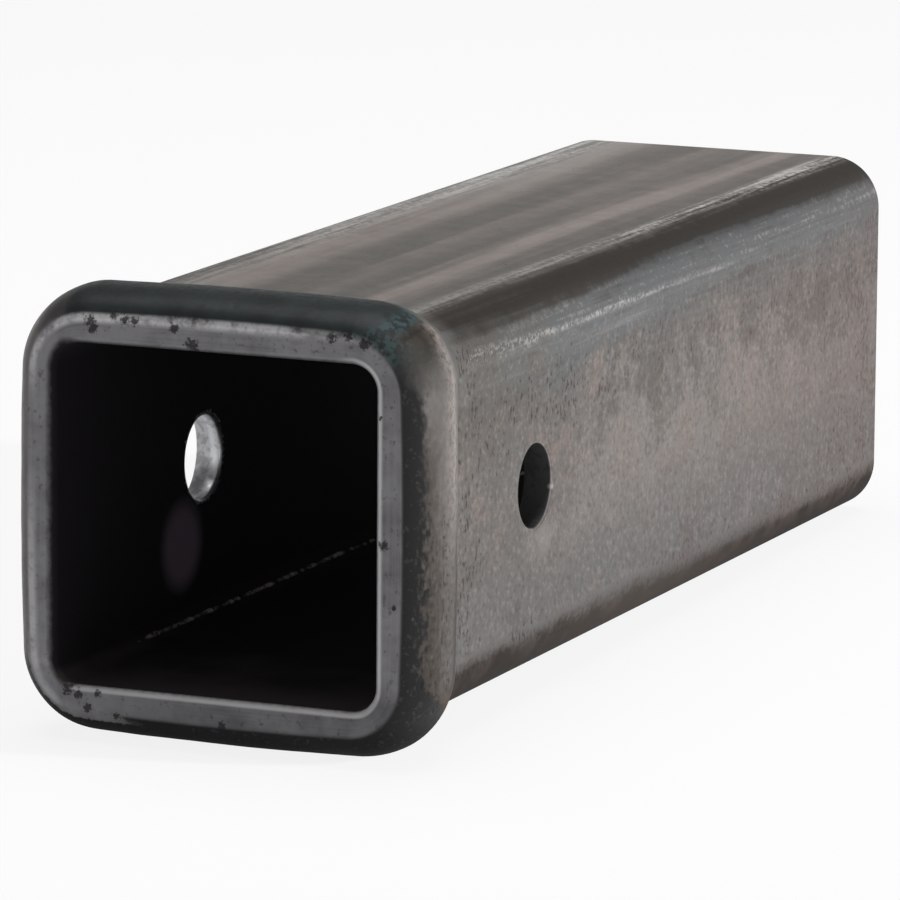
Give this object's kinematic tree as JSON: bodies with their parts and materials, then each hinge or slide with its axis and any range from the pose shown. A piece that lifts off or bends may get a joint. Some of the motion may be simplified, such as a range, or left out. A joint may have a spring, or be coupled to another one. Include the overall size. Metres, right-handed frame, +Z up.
{
  "type": "receiver tube",
  "caption": "Square steel hitch receiver tube with a forged, rounded collar at its mouth and a punched cross hole for a hitch pin, open from end to end for a ball mount shank.",
  "frame": {"origin": "where the hitch pin's axis crosses the tube's axis", "axes": "+Y along the tube from the mouth towards the back end, +X along the hitch pin's axis, +Z up"},
  "size_m": [0.0862, 0.254, 0.0862],
  "materials": {
    "raw_steel": "unpainted mill-scale steel, satin, with dark forging scale on the collar and speckled light rust"
  },
  "bodies": {
    "root": {"receiver_tube": "raw_steel"}
  },
  "joints": []
}
